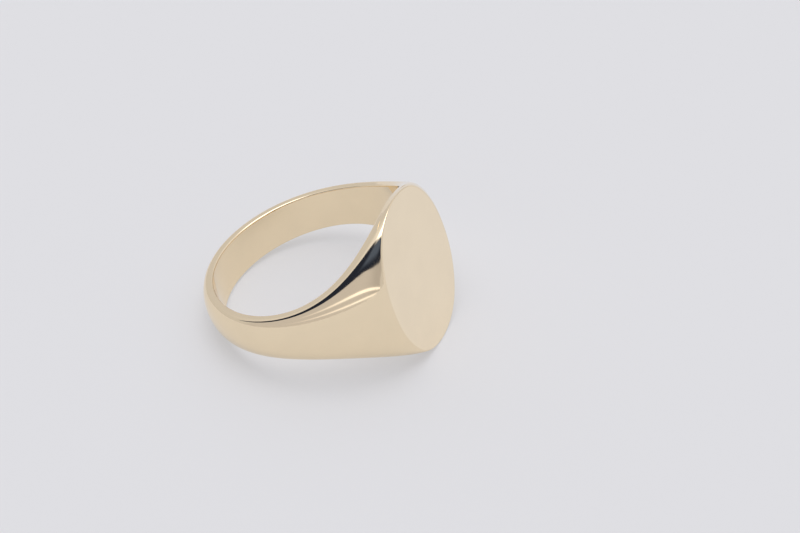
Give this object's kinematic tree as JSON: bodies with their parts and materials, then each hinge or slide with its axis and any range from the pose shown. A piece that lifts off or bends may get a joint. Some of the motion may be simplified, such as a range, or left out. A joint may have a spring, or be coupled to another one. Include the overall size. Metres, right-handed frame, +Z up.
{
  "type": "signet ring",
  "caption": "Plain gold signet ring with a blank flat oval table, broad shoulders and a shank that narrows to the back of the finger.",
  "frame": {"origin": "middle of the underside of the bounding box, on the surface that the ring lies on", "axes": "+Z up from that surface, +X across the ring from the back of the shank to the table; the ring lies on its side, so its bore leans 16 degrees from +Z"},
  "size_m": [0.0202, 0.0194, 0.0134],
  "materials": {
    "gold": "high polish",
    "solder": "high polish"
  },
  "bodies": {
    "root": {"table": "gold", "head": "gold", "shoulder_left": "gold", "shoulder_right": "gold", "shank": "gold", "solder_table": "solder", "solder_head_left": "solder", "solder_head_right": "solder", "solder_shank_left": "solder", "solder_shank_right": "solder"}
  },
  "joints": []
}
